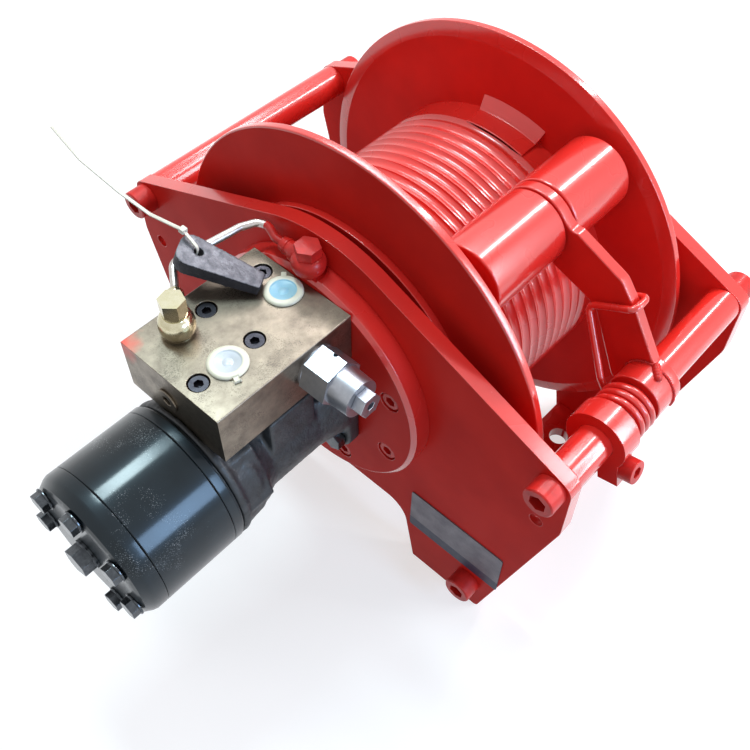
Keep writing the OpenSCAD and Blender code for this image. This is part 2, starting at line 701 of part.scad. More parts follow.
module block_banjo_bolt() {
    top = banjo_eye_z + banjo_eye_h;
    color("#c8a23c") translate([banjo_x, banjo_y, axis_h]) {
        translate([0, 0, top]) cylinder(h = 3, r = 8, $fn = 48);
        translate([0, 0, top + 3]) rotate([0, 0, 12])
            cylinder(h = banjo_hex_h, r = banjo_hex / sqrt(3), $fn = 6);
        translate([0, 0, block_z1 - 11]) cylinder(h = top - block_z1 + 11.5, r = 4, $fn = 36);
    }
}

module brake_pipe() {
    color("#c4b8b0") translate([0, 0, axis_h])
        tube(route(pipe_route, pipe_bend), pipe_r, [0, 0, 1]);
}

module brake_banjo() {
    color("#c8201c") translate([brake_banjo_x, brake_banjo_y, axis_h]) difference() {
        union() {
            translate([0, 0, brake_flat_z])
                cylinder(h = brake_eye_z - brake_flat_z, r = eye_r - 1, $fn = 48);
            translate([0, 0, brake_eye_z]) cylinder(h = eye_h, r = eye_r, $fn = 48);
            translate([0, 0, pipe_z]) rotate([-90, 0, 0]) cylinder(h = 15, r = 6, $fn = 36);
            translate([0, 15, pipe_z]) rotate([-90, 0, 0]) cylinder(h = 10, r = 14 / sqrt(3), $fn = 6);
        }
        translate([0, 0, brake_flat_z - 1]) cylinder(h = 50, r = 4 + weld_fit, $fn = 36);
        translate([0, 21, pipe_z]) rotate([-90, 0, 0]) cylinder(h = 6, r = pipe_r + 0.2, $fn = 36);
    }
}

module brake_banjo_bolt() {
    color("#c8201c") translate([brake_banjo_x, brake_banjo_y, axis_h]) {
        translate([0, 0, brake_eye_z + eye_h]) cylinder(h = 8, r = 17 / sqrt(3), $fn = 6);
        translate([0, 0, brake_flat_z - 14])
            cylinder(h = brake_eye_z + eye_h - brake_flat_z + 14, r = 4, $fn = 36);
    }
}

module name_plate() {
    y0 = name_y - name_l / 2;
    z0 = name_up - axis_h - name_h / 2;
    color("#8d9096") sheet_x(-plate_out_x - name_t, name_t) polygon(outline([[y0, z0, 2],
        [y0, z0 + name_h, 2], [y0 + name_l, z0 + name_h, 2], [y0 + name_l, z0, 2]]));
}

// Loose cast wedge that locks the rope end, tied to the winch for transport
module rope_wedge() {
    h0 = wedge_w[0] / 2;
    h1 = wedge_w[1] / 2;
    color("#5c5c5e") translate(wedge_at + [0, 0, axis_h]) rotate([0, -wedge_tilt, wedge_a]) difference() {
        intersection() {
            linear_extrude(wedge_t[1] + 1)
                polygon(outline([[0, -h0, 2], [0, h0, 2], [wedge_l, h1, 9], [wedge_l, -h1, 9]]));
            translate([0, h1 + 1, 0]) rotate([90, 0, 0]) linear_extrude(2 * h1 + 2)
                polygon([[0, 0], [wedge_l, 0], [wedge_l, wedge_t[1]], [0, wedge_t[0]]]);
        }
        translate([wedge_hole[0], wedge_hole[1], -1])
            cylinder(h = wedge_t[1] + 2, r = wedge_hole_r, $fn = 30);
    }
}

module cable_tie() {
    color("#eeeeea") translate([0, 0, axis_h]) {
        tube(route(tie_route, 3), tie_r1, [1, 0, 0], 8);
        translate(tie_head) rotate([20, 0, 18]) cube([6, 5, 4], center = true);
    }
}

// Drum flange with a bevelled inner rim, side = 1 is the far one
module flange(side) {
    x0 = side * drum_x;
    x1 = side * flange_out_x;
    in_r = core_in_r + weld_fit;
    pts = [[in_r, x0], [flange_r - flange_bevel, x0], [flange_r, x0 + side * flange_bevel_d],
        [flange_r, x1 - side * 0.8], [flange_r - 0.8, x1], [in_r, x1]];
    turned(pts);
}

module drum_flange_motor_end() {
    color("#d8281f") flange(-1);
}

module drum_flange_far() {
    color("#d8281f") flange(1);
}

module drum_core() {
    a = asin((groove_r - groove_depth) / groove_r);
    lift = core_r - groove_depth + groove_r;
    grooves = [for (i = [0:groove_n - 1]) for (k = [0:4])
        let (t = 180 + a + (180 - 2 * a) * k / 4)
        [lift + groove_r * sin(t), -drum_x + pitch * (i + 0.5) + groove_r * cos(t)]];
    color("#d8281f") turned(concat([[core_in_r, -drum_x], [core_r, -drum_x]], grooves,
        [[core_r, drum_x], [core_in_r, drum_x]]));
}

// Curved filler beside the far flange that lifts the rope to its second layer
module drum_riser() {
    x1 = drum_x - weld_fit;
    color("#d8281f") translate([0, 0, axis_h]) rotate([0, 90, 0]) rotate([0, 0, riser_a[0] + 90])
        rotate_extrude(angle = riser_a[1] - riser_a[0], $fn = 120) polygon([
            [core_r + weld_fit, x1 - riser_w], [core_r + riser_lip, x1 - riser_w],
            [core_r + riser_low, x1 - riser_rise_w], [core_r + riser_h, x1], [core_r + weld_fit, x1]]);
}

module drum_hub_motor_end() {
    color("#c8201c") turned([[spigot_r + run_fit, -flange_out_x - hub_plate_t],
        [hub_plate_r, -flange_out_x - hub_plate_t], [hub_plate_r, -flange_out_x],
        [core_in_r, -flange_out_x], [core_in_r, -drum_x + hub_depth],
        [spigot_r + run_fit, -drum_x + hub_depth]]);
}

module drum_hub_far() {
    end = plate_out_x + far_flange_t + far_hub_l - 10;
    color("#c8201c") turned([[0, drum_x - hub_depth], [core_in_r, drum_x - hub_depth],
        [core_in_r, flange_out_x], [hub_plate_r, flange_out_x],
        [hub_plate_r, flange_out_x + hub_plate_t], [journal_r + 4, flange_out_x + hub_plate_t],
        [journal_r, plate_in_x - 1], [journal_r, end - 1], [journal_r - 1, end], [0, end]]);
}

// Cranked arm plate with a round head between the rollers
module press_arm() {
    color("#d8281f") difference() {
        sheet_x(arm_x0, arm_t) union() {
            translate([-roller_y, roller_z]) circle(d = roller_d, $fn = 72);
            translate([-tie_y, tie_z]) circle(d = hub_d, $fn = 72);
            polygon(outline([[-roller_y - 17.7, roller_z + 21.1, 0], [-roller_y - 29.2, roller_z + 11.8, 6],
                [-roller_y - 34, roller_z + 12.5, 6], [-roller_y - 74, roller_z - 5, 12],
                [-roller_y - 90, roller_z - 24, 20], [-tie_y - 9, tie_z + 5, 0],
                [-tie_y, tie_z - 20, 0], [-tie_y + 27, tie_z - 16, 12],
                [-tie_y + 54.5, tie_z + 40, 14], [-roller_y - 46, roller_z - 34, 10],
                [-roller_y - 8, roller_z - 20, 0]]));
        }
        rod_x(arm_x0 - 1, arm_x1 + 1, axle_d / 2 + weld_fit, -roller_y, roller_z);
        rod_x(arm_x0 - 1, arm_x1 + 1, tie_r + run_fit, -tie_y, tie_z);
    }
}

module arm_hub() {
    color("#d8281f") difference() {
        rod_x(arm_x0 - hub_l, arm_x0, hub_d / 2, -tie_y, tie_z);
        rod_x(arm_x0 - hub_l - 1, arm_x0 + 1, tie_r + run_fit, -tie_y, tie_z);
    }
}

module roller_axle() {
    color("#b0201c") rod_x(-roller_end - washer_t, roller_end + washer_t, axle_d / 2, -roller_y, roller_z);
}

module roller_washers() {
    color("#b0201c") for (s = [-1, 1]) difference() {
        rod_x(s > 0 ? roller_end : -roller_end - washer_t,
            s > 0 ? roller_end + washer_t : -roller_end, axle_d / 2 + 6, -roller_y, roller_z, 48);
        rod_x(-roller_end - washer_t - 1, roller_end + washer_t + 1, axle_d / 2 + weld_fit,
            -roller_y, roller_z);
    }
}

module roller(x0, x1) {
    c = 1;
    r = roller_d / 2;
    translate([0, -roller_y, roller_z]) turned([[axle_d / 2 + run_fit, x0], [r - c, x0], [r, x0 + c],
        [r, x1 - c], [r - c, x1], [axle_d / 2 + run_fit, x1]]);
}

module press_roller_near() {
    color("#dc2a20") roller(-roller_end + 0.5, arm_x0 - roller_gap);
}

module press_roller_far() {
    color("#dc2a20") roller(arm_x1 + roller_gap, roller_end - 0.5);
}

// Torsion spring: coils round the tie rod, a leg up the arm and a hook over its edge
module torsion_spring() {
    foot = [-tie_y + 26.1, tie_z + 5.2];
    knee = [-tie_y + 58.5, tie_z + 43];
    to_foot = foot + [tie_y, -tie_z];
    a1 = atan2(to_foot[1], to_foot[0]) - acos(coil_r / norm(to_foot));
    turns = 360 * spring_turns;
    steps = round(20 * spring_turns);
    edge = [-tie_y + 28.3, tie_z + 60.2];
    out = unit(edge - knee);
    cross_at = edge + out * (wire_r + wire_fit);
    back = edge - out * 9;
    far_x = arm_x1 + wire_r + wire_fit;
    coil = [for (i = [0:steps]) let (a = a1 - turns * (1 - i / steps))
        [coil_x0 + (coil_x1 - coil_x0) * i / steps, -tie_y + coil_r * cos(a), tie_z + coil_r * sin(a)]];
    leg = route([coil[steps], [coil_x1, foot[0], foot[1]], [leg_x, knee[0], knee[1]],
        [leg_x, cross_at[0], cross_at[1]], [far_x, cross_at[0], cross_at[1]],
        [far_x, back[0], back[1]]], 5);
    color("#c8241e") translate([0, 0, axis_h])
        tube(concat(coil, [for (i = [1:len(leg) - 1]) leg[i]]), wire_r, [1, 0, 0], 10);
}

side_plate_motor_end();
side_plate_far();
foot_bars();
tie_rods();
tie_rod_screws();
motor_adapter_ring();
adapter_screws();
far_bearing_housing();
far_bearing_bolts();
spring_collar();
collar_screw();
motor_housing();
motor_port_ring();
motor_stator();
motor_end_cover();
motor_cover_bolts();
motor_drain_plug();
motor_mounting_bolts();
valve_block();
valve_block_screws();
port_caps();
block_end_plug();
relief_cartridge();
relief_adjuster();
block_banjo();
block_banjo_bolt();
brake_pipe();
brake_banjo();
brake_banjo_bolt();
name_plate();
rope_wedge();
cable_tie();
drum_flange_motor_end();
drum_flange_far();
drum_core();
drum_riser();
drum_hub_motor_end();
drum_hub_far();
press_arm();
arm_hub();
roller_axle();
roller_washers();
torsion_spring();
press_roller_near();
press_roller_far();
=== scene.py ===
# %% [markdown]
# # Hydraulic rope winch
# The winch stands on its feet with the drum axis along X, the motor at -X and the
# press rollers at -Y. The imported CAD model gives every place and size. This file
# dresses it: each cell says what a piece is on the real winch, how it could be made,
# and why it is made the way it is.

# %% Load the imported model
import math

import bmesh
import bpy
from mathutils import Matrix, Vector, noise
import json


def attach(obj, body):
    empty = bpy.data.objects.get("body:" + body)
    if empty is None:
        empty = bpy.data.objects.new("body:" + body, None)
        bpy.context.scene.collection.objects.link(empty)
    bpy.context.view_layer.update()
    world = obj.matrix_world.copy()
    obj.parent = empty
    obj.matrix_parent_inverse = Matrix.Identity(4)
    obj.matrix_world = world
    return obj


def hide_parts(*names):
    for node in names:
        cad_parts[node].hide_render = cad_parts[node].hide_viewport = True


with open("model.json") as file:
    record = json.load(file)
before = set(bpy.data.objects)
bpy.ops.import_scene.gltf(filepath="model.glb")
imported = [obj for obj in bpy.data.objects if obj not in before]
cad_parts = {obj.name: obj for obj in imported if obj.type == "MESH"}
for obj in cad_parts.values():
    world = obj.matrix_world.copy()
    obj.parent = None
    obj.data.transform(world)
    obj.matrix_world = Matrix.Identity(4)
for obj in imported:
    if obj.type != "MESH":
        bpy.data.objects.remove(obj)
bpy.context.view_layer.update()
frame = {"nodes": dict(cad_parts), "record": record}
MM = 0.001
AXIS_H = 200 * MM

# %% [markdown]
# ## Camera
# The photograph looks down on the motor end from the roller side. The place and the
# three turns below were solved from known straight edges and circles of the winch.
# A lens of 45 mm on a 36 mm sensor gives the same perspective.

# %% Set the camera
CAMERA_AT = (-0.4265, -0.3268, 0.7637)
CAMERA_TURN = (37.278, -0.726, -47.656)
PHOTO_SIZE = 750
FOCAL_PX = 932.7
CENTRE_PX = (378.97, 378.66)
camera_data = bpy.data.cameras.new("photo_camera")
camera = bpy.data.objects.new("photo_camera", camera_data)
bpy.context.scene.collection.objects.link(camera)
bpy.context.scene.camera = camera
camera.location = CAMERA_AT
camera.rotation_euler = [math.radians(a) for a in CAMERA_TURN]
camera_data.sensor_width = 36
camera_data.lens = FOCAL_PX / PHOTO_SIZE * camera_data.sensor_width
camera_data.shift_x = (PHOTO_SIZE / 2 - CENTRE_PX[0]) / PHOTO_SIZE
camera_data.shift_y = (CENTRE_PX[1] - PHOTO_SIZE / 2) / PHOTO_SIZE
camera_data.clip_start = 0.02
print("lens", round(camera_data.lens, 2), "mm")

# %% [markdown]
# ## Colours and nodes
# Colours are written as the screen shows them, in hex, and one function turns them
# into the linear values that the shader works with. A second small function adds a
# node, sets its settings and joins its sockets, so a material reads like a recipe.


# %% Two helpers for materials
def lin(code):
    """Linear RGBA of an sRGB hex colour."""
    parts = [int(code[i:i + 2], 16) / 255 for i in (1, 3, 5)]
    return [p / 12.92 if p <= 0.04045 else ((p + 0.055) / 1.055) ** 2.4 for p in parts] + [1.0]


def add(mat, kind, inputs=None, **settings):
    """Adds a node: settings are its options, inputs are values or sockets to join."""
    made = mat.node_tree.nodes.new(kind)
    for key, value in settings.items():
        setattr(made, key, value)
    for key, value in (inputs or {}).items():
        if isinstance(value, bpy.types.NodeSocket):
            mat.node_tree.links.new(value, made.inputs[key])
        else:
            made.inputs[key].default_value = value
    return made


def start(name):
    """A new material with its surface shader and the object's own coordinates."""
    mat = bpy.data.materials.new(name)
    mat.use_nodes = True
    where = add(mat, "ShaderNodeTexCoord").outputs["Object"]
    return mat, mat.node_tree.nodes["Principled BSDF"], where


print("red", [round(c, 3) for c in lin("#D3170F")[:3]])

# %% [markdown]
# ## Enamels
# The steelwork is sprayed with a gloss alkyd enamel. Wet paint pulls into a faint
# orange peel, a few millimetres from crest to crest, and lies a little thicker and
# deeper in colour in broad patches. On turned parts and edges a clear coat over the
# red gives the hard white reflections that the photograph shows. The flat plates
# look deep and even there, so their paint has almost no shine. The motor has a black
# enamel with grey dust, and its casting a thin black paint.


# %% Painted finishes
def clusters(mat, where, grain_mm, grain_detail, cloud_mm):
    """Fine grains that show only in clouds: the product of two noises, and the clouds alone."""
    grain = add(mat, "ShaderNodeTexNoise", {"Vector": where, "Scale": 1000 / grain_mm,
                                            "Detail": grain_detail})
    cloud = add(mat, "ShaderNodeTexNoise", {"Vector": where, "Scale": 1000 / cloud_mm,
                                            "Detail": 3.0})
    both = add(mat, "ShaderNodeMath", {0: grain.outputs["Fac"], 1: cloud.outputs["Fac"]},
               operation="MULTIPLY")
    return both.outputs[0], cloud.outputs["Fac"]


def paint(name, light, deep, rough, peel_mm, peel_depth, patch_mm=60, coat=0.2, shine=0.5,
          dust=0.0, painted_reflection_tint="#FFFFFF"):
    """Gloss paint: two close colours in patches, and a bump for the spray texture."""
    mat, shader, where = start(name)
    patch = add(mat, "ShaderNodeTexNoise", {"Vector": where, "Scale": 1000 / patch_mm,
                                            "Detail": 3.0, "Roughness": 0.55})
    share = add(mat, "ShaderNodeMapRange", {"Value": patch.outputs["Fac"], 1: 0.35, 2: 0.65})
    colour = add(mat, "ShaderNodeMix", {0: share.outputs[0], 6: lin(light), 7: lin(deep)},
                 data_type="RGBA")
    if dust:
        # Real dust is finer than these grains, but wouldn't show
        grains, _ = clusters(mat, where, grain_mm=0.6667, grain_detail=1.0, cloud_mm=26.32)
        speck = add(mat, "ShaderNodeMapRange", {"Value": grains, 1: 0.38, 2: 0.45, 4: dust})
        colour = add(mat, "ShaderNodeMix", {0: speck.outputs[0], 6: colour.outputs[2],
                                            7: lin("#C9CFD2")}, data_type="RGBA")
    peel = add(mat, "ShaderNodeTexNoise", {"Vector": where, "Scale": 1000 / peel_mm,
                                           "Detail": 2.0, "Roughness": 0.5})
    bump = add(mat, "ShaderNodeBump", {"Height": peel.outputs["Fac"], "Strength": 1.0,
                                       "Distance": peel_depth * MM})
    gloss = add(mat, "ShaderNodeMapRange", {"Value": patch.outputs["Fac"], 3: rough * 0.8,
                                            4: rough * 1.3})
    links = mat.node_tree.links
    links.new(colour.outputs[2], shader.inputs["Base Color"])
    links.new(bump.outputs[0], shader.inputs["Normal"])
    links.new(bump.outputs[0], shader.inputs["Coat Normal"])
    links.new(gloss.outputs[0], shader.inputs["Roughness"])
    shader.inputs["Coat Weight"].default_value = coat
    shader.inputs["Coat Roughness"].default_value = 0.14
    shader.inputs["IOR"].default_value = 1.5
    shader.inputs["Specular IOR Level"].default_value = shine
    # The tint colours the reflections: painted blue light on the black enamel, no tint elsewhere
    shader.inputs["Specular Tint"].default_value = lin(painted_reflection_tint)
    return mat


# Alkyd enamel on flat plate: a deep even red with almost no shine
RED = paint("red_alkyd_enamel", "#DA2A22", "#CB2620", 0.36, 4.0, 0.02, coat=0.0, shine=0.05)
# The same enamel on turned steel: a clear gloss that draws hard white lines
RED_GLOSS = paint("red_enamel_on_turned_steel", "#DA2A22", "#CB2620", 0.26, 4.0, 0.01, coat=0.9)
# A thick coat on castings and screws: it sags and gathers, so the red is uneven
RED_THICK = paint("red_enamel_on_castings", "#D62922", "#B3201D", 0.36, 2.5, 0.05, patch_mm=14,
                  coat=0.1, shine=0.3)
# Black enamel, clean or dusty: a blue black with soft bands of light and pale specks; its slight blue
# and the blue tint of its reflections are painted bluish light
BLACK, BLACK_DUSTY = [
    paint(name, "#11191E", "#0A1014", 0.32, 3.0, 0.01, patch_mm=25, coat=0.45, shine=0.3,
          dust=dust, painted_reflection_tint="#9DB9C9")
    for name, dust in (("black_enamel", 0.0), ("dusty_black_enamel", 0.3))]
# Thin black paint over a sand casting: dull, and the grit shows through
CASTING = paint("black_paint_on_casting", "#23282D", "#15181B", 0.5, 1.6, 0.22, patch_mm=8,
                coat=0.1)
print("paints", [m.name for m in (RED, RED_GLOSS, RED_THICK, BLACK, BLACK_DUSTY, CASTING)])

# %% [markdown]
# ## Metals
# The valve block is milled steel with a pale yellow zinc plate, so it keeps fine tool
# marks and stains. The banjo is plated a stronger yellow, the cartridge is bright
# zinc, the screws are black oxide and the wedge is a bare grey casting.


# %% Bare and plated metals
def metal(name, light, deep, rough, patch_mm, grain_mm, grain_depth, metallic=1.0, spread=0.3):
    """Metal with stained patches in colour and gloss, and a fine surface grain."""
    mat, shader, where = start(name)
    patch = add(mat, "ShaderNodeTexNoise", {"Vector": where, "Scale": 1000 / patch_mm,
                                            "Detail": 5.0, "Roughness": 0.62})
    share = add(mat, "ShaderNodeMapRange", {"Value": patch.outputs["Fac"], 1: 0.5 - spread,
                                            2: 0.5 + spread})
    colour = add(mat, "ShaderNodeMix", {0: share.outputs[0], 6: lin(light), 7: lin(deep)},
                 data_type="RGBA")
    grain = add(mat, "ShaderNodeTexNoise", {"Vector": where, "Scale": 1000 / grain_mm,
                                            "Detail": 3.0, "Roughness": 0.6})
    bump = add(mat, "ShaderNodeBump", {"Height": grain.outputs["Fac"], "Strength": 1.0,
                                       "Distance": grain_depth * MM})
    gloss = add(mat, "ShaderNodeMapRange", {"Value": patch.outputs["Fac"], 3: rough * 0.7,
                                            4: rough * 1.4})
    links = mat.node_tree.links
    links.new(colour.outputs[2], shader.inputs["Base Color"])
    links.new(bump.outputs[0], shader.inputs["Normal"])
    links.new(gloss.outputs[0], shader.inputs["Roughness"])
    shader.inputs["Metallic"].default_value = metallic
    return mat


def pit_and_spray(mat, corner_mm):
    """Dull pits in clusters on a milled face, and red overspray at one corner."""
    shader = mat.node_tree.nodes["Principled BSDF"]
    where = add(mat, "ShaderNodeTexCoord").outputs["Object"]
    clean = shader.inputs["Base Color"].links[0].from_socket
    # Real pits are finer too: these are as coarse as they need to be to show
    grains, field = clusters(mat, where, grain_mm=0.7692, grain_detail=2.0, cloud_mm=22.22)
    pits = add(mat, "ShaderNodeMapRange", {"Value": grains, 1: 0.29, 2: 0.4, 4: 0.75})
    worn = add(mat, "ShaderNodeMix", {0: pits.outputs[0], 6: clean, 7: lin("#5A534B")},
               data_type="RGBA")
    # The spray reaches about 10 to 20 mm from the corner, less where the clouds are thin
    away = add(mat, "ShaderNodeVectorMath", {0: where, 1: [c * MM for c in corner_mm]},
               operation="DISTANCE")
    cloud = add(mat, "ShaderNodeMath", {0: field, 1: 0.03}, operation="MULTIPLY")
    reach = add(mat, "ShaderNodeMath", {0: away.outputs["Value"], 1: cloud.outputs[0]},
                operation="SUBTRACT")
    spray = add(mat, "ShaderNodeMapRange", {"Value": reach.outputs[0], 1: -0.01, 2: 0.002,
                                            3: 0.85, 4: 0.0})
    tinted = add(mat, "ShaderNodeMix", {0: spray.outputs[0], 6: worn.outputs[2], 7: lin("#DC4A38")},
                 data_type="RGBA")
    bare = add(mat, "ShaderNodeMath", {0: 1.0, 1: spray.outputs[0]}, operation="SUBTRACT")
    mat.node_tree.links.new(tinted.outputs[2], shader.inputs["Base Color"])
    mat.node_tree.links.new(bare.outputs[0], shader.inputs["Metallic"])


# Yellow zinc over milled steel: a warm grey, clouded in patches
BLOCK = metal("yellow_zinc_on_milled_steel", "#948A7B", "#6A6157", 0.34, 14, 1.2, 0.03, spread=0.2)
BLOCK_CORNER = (-251, 51, 296)
pit_and_spray(BLOCK, BLOCK_CORNER)
# Black oxide is a thin dark film: the steel under it still glints
OXIDE = metal("black_oxide_steel", "#55555C", "#2C2C32", 0.28, 4, 1.0, 0.02)
# Bright zinc: a cold pale grey whose reflections are slightly blurred
BRIGHT = metal("bright_zinc_on_steel", "#B0B3BA", "#8A8E97", 0.34, 10, 1.0, 0.01)
# Yellow passivated zinc: pale gold with a sharp shine
YELLOW = metal("yellow_passivated_zinc", "#E2DDC4", "#B3AA86", 0.2, 6, 1.0, 0.01)
# Galvanised tube: drawn smooth, so a soft silver line runs along it
TUBE = metal("galvanised_tube", "#DCD6D2", "#A89E98", 0.32, 8, 1.0, 0.02)
# Grey iron with scale on it is only partly metal to the eye: dull, with a faint glint
GREY_IRON = metal("bare_grey_casting", "#86868C", "#4C4C52", 0.5, 5, 1.5, 0.3, 0.6)
# Its sides are the same iron painted darker, as shade on the faces that don't look up: nearly black
SHADED_IRON = metal("grey_casting_painted_side_shade", "#3A3A40", "#202026", 0.6, 5, 1.5, 0.3, 0.4)
# Black zinc is glossier than oxide: each bolt head shows a small clear light
BOLT = metal("black_zinc_bolts", "#62676C", "#3A3D42", 0.22, 3, 1.0, 0.01)
# Rolled aluminium sheet: flat grey with a fine grain
SHEET = metal("dull_aluminium_sheet", "#7C7A80", "#626068", 0.5, 12, 0.8, 0.02, 0.8)
METALS = (BLOCK, OXIDE, BRIGHT, YELLOW, TUBE, GREY_IRON, SHADED_IRON, BOLT, SHEET)
print("metals", [m.name for m in METALS])

# %% [markdown]
# ## Plastics
# The dust caps are soft polyethylene, milky with a bluish middle, and the cable tie is
# natural nylon. Both let a little light in under the surface.


# %% Plastics
CLOUD_MM = 4


def plastic(name, colour, rough, depth_mm):
    """Milky plastic: light enters to about depth_mm below the surface."""
    mat, shader, where = start(name)
    cloud = add(mat, "ShaderNodeTexNoise", {"Vector": where, "Scale": 1000 / CLOUD_MM,
                                            "Detail": 2.0})
    gloss = add(mat, "ShaderNodeMapRange", {"Value": cloud.outputs["Fac"], 3: rough * 0.8,
                                            4: rough * 1.2})
    mat.node_tree.links.new(gloss.outputs[0], shader.inputs["Roughness"])
    shader.inputs["Base Color"].default_value = lin(colour)
    shader.inputs["Subsurface Weight"].default_value = 0.3
    shader.inputs["Subsurface Radius"].default_value = (1.0, 1.0, 1.0)
    shader.inputs["Subsurface Scale"].default_value = depth_mm * MM
    return mat


# Polyethylene is milky: edges and shadows go pale, and the gloss is soft
CAP = plastic("blue_polyethylene", "#9CCBDC", 0.3, 1.5)
CAP_MILK = plastic("milky_polyethylene", "#C6CDD2", 0.3, 1.5)
CAP_RIM = plastic("yellowed_polyethylene", "#DAD8C4", 0.35, 1.5)
# Screen print is a thin opaque film: dark and even
BAND = plastic("navy_print", "#2B3048", 0.5, 0.2)
# Natural nylon: off white, with a soft shine along the strap
NYLON = plastic("natural_nylon", "#CFCBBE", 0.4, 1.0)
print("plastics", [m.name for m in (CAP, CAP_MILK, CAP_RIM, BAND, NYLON)])

# %% [markdown]
# ## First coat
# Every CAD node takes the finish of its real material before any piece is remade, so
# nothing is left plain.

# %% Give each CAD node its finish
FINISH = {"red_enamel": RED, "black_casting": CASTING, "black_enamel": BLACK, "yellow_zinc": BLOCK,
          "black_oxide": OXIDE, "cap_plastic": CAP, "bright_plate": BRIGHT, "brass_zinc": YELLOW,
          "pipe_steel": TUBE, "grey_casting": GREY_IRON, "tie_nylon": NYLON,
          "plate_aluminium": SHEET}
SLOT_OF = {row["node"]: row["material_slot"] for row in frame["record"]["subparts"]}
for name, node in frame["nodes"].items():
    node.data.materials.clear()
    node.data.materials.append(FINISH[SLOT_OF[name]])
print(len(frame["nodes"]), "nodes coated")

# %% [markdown]
# ## Edges that catch the light
# Nothing on the real winch has a razor edge: plates are flame cut and ground, turned
# parts are broken with a file, and paint rounds both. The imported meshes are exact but
# sharp, so each visible node is copied, its loose triangles are joined and its flat
# faces are cleaned, and one bevel rounds every edge. Weighted normals keep the flats
# flat and put the whole bend into the bevel.


# %% Copy, clean and soften a node
BODIES = frame["record"]["behaviour"]["bodies"]
BODY_OF = {node: body for body, nodes in BODIES.items() for node in nodes}
# Corners nearer than this are one corner, faces flatter than this are one face, and
# edges sharper than this keep a crease
JOIN_MM, FLAT_DEG, CREASE_DEG = 0.004, 0.3, 50


def copy_node(name):
    """A bmesh of a CAD node with its corners joined and its flat faces made whole."""
    bm = bmesh.new()
    bm.from_mesh(frame["nodes"][name].data)
    bmesh.ops.remove_doubles(bm, verts=bm.verts, dist=JOIN_MM * MM)
    bmesh.ops.dissolve_limit(bm, angle_limit=math.radians(FLAT_DEG), verts=bm.verts,
                             edges=bm.edges)
    return bm


def soften(bm, radius_mm, sharp_deg=30, segments=2):
    """Rounds the edges where two faces meet at more than sharp_deg."""
    sharp = math.radians(sharp_deg)
    edges = [e for e in bm.edges if e.is_manifold and e.calc_face_angle(0) > sharp]
    bmesh.ops.bevel(bm, geom=edges, offset=radius_mm * MM, offset_type="OFFSET", affect="EDGES",
                    segments=segments, profile=0.5, clamp_overlap=True, material=-1)


def place(bm, name, finishes, nodes=(), body=None, weighted=True):
    """Makes a piece of a bmesh: smooth faces, finishes, body and the nodes it stands for."""
    for face in bm.faces:
        face.smooth = True
    for edge in bm.edges:
        if edge.is_manifold and edge.calc_face_angle(0) > math.radians(CREASE_DEG):
            edge.smooth = False
    mesh = bpy.data.meshes.new(name)
    bm.to_mesh(mesh)
    bm.free()
    for finish in finishes:
        mesh.materials.append(finish)
    piece = bpy.data.objects.new(name, mesh)
    bpy.context.scene.collection.objects.link(piece)
    if weighted:
        shading = piece.modifiers.new("weighted normals", "WEIGHTED_NORMAL")
        shading.keep_sharp = True
    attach(piece, body or BODY_OF[nodes[0]])
    if nodes:
        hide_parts(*nodes)
    return piece


print("nodes on each body", {body: len(nodes) for body, nodes in BODIES.items()})

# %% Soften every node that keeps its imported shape
# Edge radius of each node in mm
EDGE_MM = {
    "side_plate_motor_end": 0.9, "side_plate_far": 0.9, "foot_bars": 0.9, "tie_rods": 0.6,
    "tie_rod_screws": 0.5, "motor_adapter_ring": 0.7, "adapter_screws": 0.35,
    "far_bearing_housing": 0.7, "far_bearing_bolts": 0.5, "spring_collar": 0.9,
    "collar_screw": 0.5, "motor_port_ring": 0.25, "motor_stator": 0.25, "motor_end_cover": 0.5,
    "motor_cover_bolts": 0.45, "motor_drain_plug": 0.5, "motor_mounting_bolts": 0.5,
    "valve_block": 0.45, "valve_block_screws": 0.4, "block_end_plug": 0.4,
    "relief_cartridge": 0.5, "relief_adjuster": 0.4,
    "block_banjo_bolt": 0.6, "brake_banjo_bolt": 0.7,
    "drum_flange_motor_end": 0.7, "drum_flange_far": 0.7, "drum_riser": 0.8,
    "drum_hub_motor_end": 0.7, "drum_hub_far": 0.7, "press_arm": 1.2, "arm_hub": 1.0,
    "roller_axle": 0.7, "roller_washers": 0.5, "press_roller_near": 0.8, "press_roller_far": 0.8}
OWN_FINISH = {
    "motor_end_cover": BLACK_DUSTY, "motor_stator": BLACK_DUSTY, "motor_cover_bolts": BOLT,
    "motor_drain_plug": BOLT, "motor_mounting_bolts": BOLT, "brake_banjo_bolt": RED_THICK,
    "collar_screw": RED_THICK, "tie_rod_screws": RED_THICK, "adapter_screws": RED_THICK}
# Faces square to the drum axis stay plain red, all others are glossy
FLAT_ON_X = 0.99
for name, radius in EDGE_MM.items():
    shape = copy_node(name)
    soften(shape, radius)
    finishes = [OWN_FINISH.get(name, FINISH[SLOT_OF[name]])]
    if finishes[0] is RED:
        finishes.append(RED_GLOSS)
        for face in shape.faces:
            face.material_index = int(abs(face.normal.x) < FLAT_ON_X)
    place(shape, name + "_dressed", finishes, [name])
print(len(EDGE_MM), "nodes softened")

# %% [markdown]
# ## Grooved drum core
# The core is a thick tube with a rope groove cut in parallel bands, each a little
# wider than the rope and with a rounded crest between two grooves. The crests are
# what the light draws as fine dark and bright lines, so the profile is drawn with
# round crests and spun about the drum axis.

# %% Spin the core
DRUM_X, CORE_R, CORE_IN_R = 83.0, 115.0, 98.0
PITCH, GROOVE_R, GROOVE_DEPTH, GROOVE_N = 10.3, 5.3, 3.0, 14
CREST_TURN, CREST_RUN, CREST_DROP, LAST_GAP = 0.09, 0.25, 0.02, 0.6
ARC_STEPS, CORE_STEPS = 8, 168


